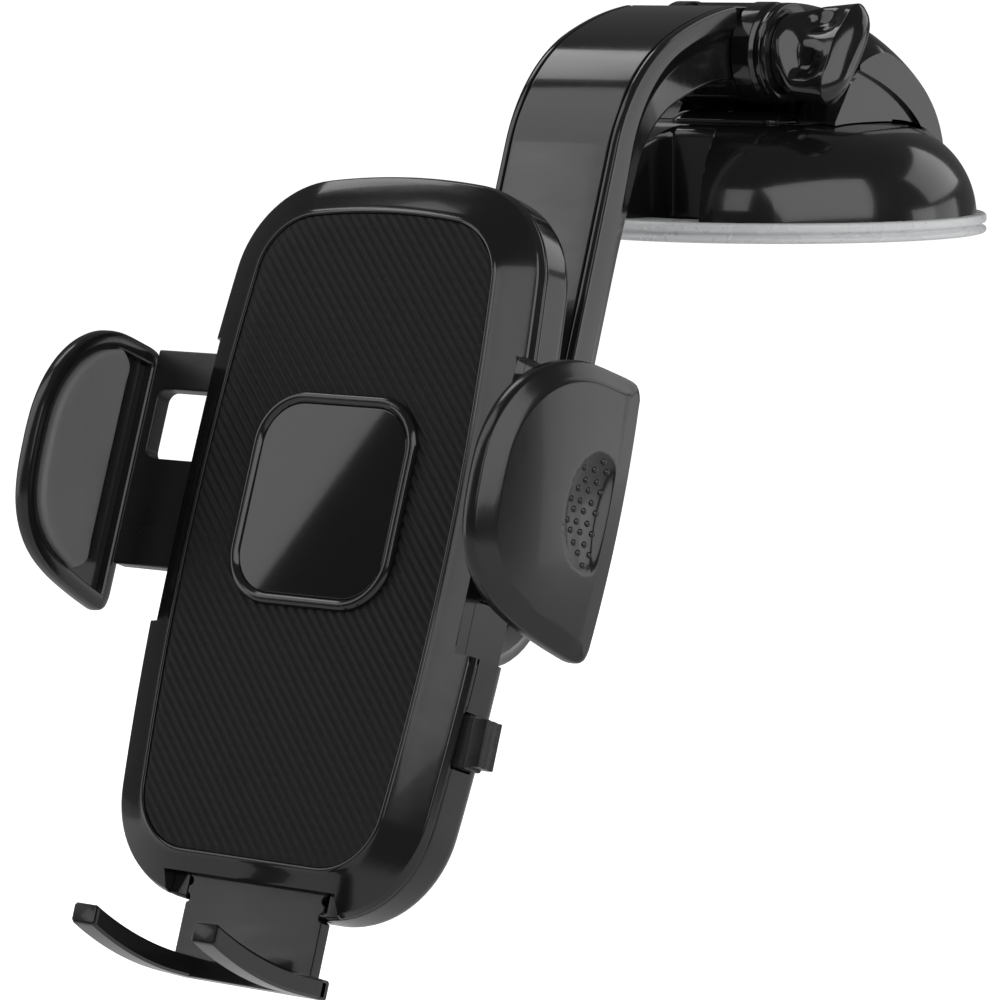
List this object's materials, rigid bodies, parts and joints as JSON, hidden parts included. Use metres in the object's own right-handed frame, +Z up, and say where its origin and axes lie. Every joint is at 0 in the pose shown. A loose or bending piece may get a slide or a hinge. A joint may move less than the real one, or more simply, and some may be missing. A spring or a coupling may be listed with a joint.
{
  "type": "car phone mount",
  "caption": "Suction-cup phone holder with a curved swing arm, a ball joint, ratcheting side clamps, a sliding support foot and a lock lever.",
  "frame": {"origin": "centre of the suction ring's underside, on the surface it sticks to", "axes": "+Z up away from that surface, -Y towards the phone cradle, X across; X = 0 is the arm's middle plane"},
  "size_m": [0.1048, 0.2201, 0.1573],
  "materials": {
    "gloss_black": "high gloss",
    "satin_black": "satin",
    "ribbed_pad": "matte, fine diagonal ribs",
    "rubber": "matte",
    "gel": "soft gloss",
    "nylon": "matte",
    "steel": "satin"
  },
  "bodies": {
    "base": {"suction_ring": "gel", "cup_membrane": "rubber", "base_housing": "gloss_black", "stud_spring": "steel", "rocker_pin": "steel", "lever_pin": "steel", "pivot_bracket": "gloss_black", "bracket_screws": "steel", "pivot_bolt": "steel", "friction_washers": "nylon", "knob_washer": "steel"},
    "stud": {"draw_stud": "steel"},
    "rocker": {"draw_rocker": "steel"},
    "lever": {"lock_lever": "gloss_black"},
    "knob": {"wing_knob": "gloss_black"},
    "arm": {"arm_body": "gloss_black", "arm_cover": "gloss_black", "ball_stud": "steel", "stud_screw": "steel"},
    "seat_a": {"seat_rear": "nylon"},
    "seat_b": {"seat_front": "nylon"},
    "cradle": {"ball_socket": "satin_black", "socket_screws": "steel", "rear_casing": "gloss_black", "case_screws": "steel", "front_bezel": "gloss_black", "front_pad": "ribbed_pad", "badge_ring": "gloss_black", "badge_plate": "gloss_black", "torsion_spring": "steel", "pawl_spring": "steel", "detent_springs": "steel"},
    "nut": {"lock_nut": "satin_black"},
    "left_clamp": {"left_arm": "satin_black", "left_jaw": "gloss_black", "left_jaw_pad": "rubber"},
    "right_clamp": {"right_arm": "satin_black", "right_jaw": "gloss_black", "right_jaw_pad": "rubber"},
    "drive_pinion": {"pinion": "nylon"},
    "pawl": {"ratchet_pawl": "steel"},
    "button": {"release_button": "satin_black"},
    "tray": {"support_tray": "gloss_black"}
  },
  "joints": [
    {"name": "lever_hinge", "type": "hinge", "parent": "base", "child": "lever", "pos_m": [0, 0.031, 0.012], "axis": [1, 0, 0], "range_deg": [-60, 0]},
    {"name": "rocker_hinge", "type": "hinge", "parent": "base", "child": "rocker", "pos_m": [0, 0.012, 0.0142], "axis": [1, 0, 0], "range_deg": [0, 6]},
    {"name": "stud_slide", "type": "slide", "parent": "base", "child": "stud", "axis": [0, 0, 1], "range_m": [-0.0013, 0], "deforming": ["stud_spring", "cup_membrane"]},
    {"name": "knob_spin", "type": "hinge", "parent": "base", "child": "knob", "pos_m": [0, -0.0146, 0.0331], "axis": [1, 0, 0], "range_deg": [0, 720]},
    {"name": "arm_tilt", "type": "hinge", "parent": "base", "child": "arm", "pos_m": [0, -0.0146, 0.0331], "axis": [1, 0, 0], "range_deg": [-60, 20]},
    {"name": "cradle_tilt", "type": "hinge", "parent": "arm", "child": "seat_a", "pos_m": [0, -0.10865, -0.05269], "axis": [1, 0, 0], "range_deg": [-15, 15]},
    {"name": "cradle_pan", "type": "hinge", "parent": "seat_a", "child": "seat_b", "pos_m": [0, -0.10865, -0.05269], "axis": [0, 0.342, 0.9397], "range_deg": [-15, 15]},
    {"name": "cradle_roll", "type": "hinge", "parent": "seat_b", "child": "cradle", "pos_m": [0, -0.10865, -0.05269], "axis": [0, 0.9397, -0.342], "range_deg": [-90, 90]},
    {"name": "nut_spin", "type": "hinge", "parent": "cradle", "child": "nut", "pos_m": [0, -0.10865, -0.05269], "axis": [0, 0.9397, -0.342], "range_deg": [0, 360]},
    {"name": "left_clamp_slide", "type": "slide", "parent": "cradle", "child": "left_clamp", "axis": [1, 0, 0], "range_m": [0, 0.0153]},
    {"name": "right_clamp_slide", "type": "slide", "parent": "cradle", "child": "right_clamp", "axis": [-1, 0, 0], "range_m": [0, 0.0153]},
    {"name": "pinion_spin", "type": "hinge", "parent": "cradle", "child": "drive_pinion", "pos_m": [0, -0.12206, -0.02871], "axis": [0, -0.9397, 0.342], "range_deg": [0, 251]},
    {"name": "button_press", "type": "slide", "parent": "cradle", "child": "button", "axis": [-1, 0, 0], "range_m": [0, 0.0018], "stiffness_N_per_m": 600, "springref_m": -0.0005},
    {"name": "pawl_hinge", "type": "hinge", "parent": "cradle", "child": "pawl", "pos_m": [0.014, -0.13386, -0.06054], "axis": [0, 0.9397, -0.342], "range_deg": [0, 8]},
    {"name": "tray_slide", "type": "slide", "parent": "cradle", "child": "tray", "axis": [0, 0.342, 0.9397], "range_m": [-0.006, 0.0086]}
  ],
  "couplings": [
    {"joint": "rocker_hinge", "follows": "lever_hinge", "ratio": -0.095},
    {"joint": "stud_slide", "follows": "lever_hinge", "m_per_rad": 0.001146},
    {"joint": "right_clamp_slide", "follows": "left_clamp_slide", "ratio": 1},
    {"joint": "pinion_spin", "follows": "left_clamp_slide", "rad_per_m": 285.71},
    {"joint": "pawl_hinge", "follows": "button_press", "rad_per_m": 74}
  ]
}
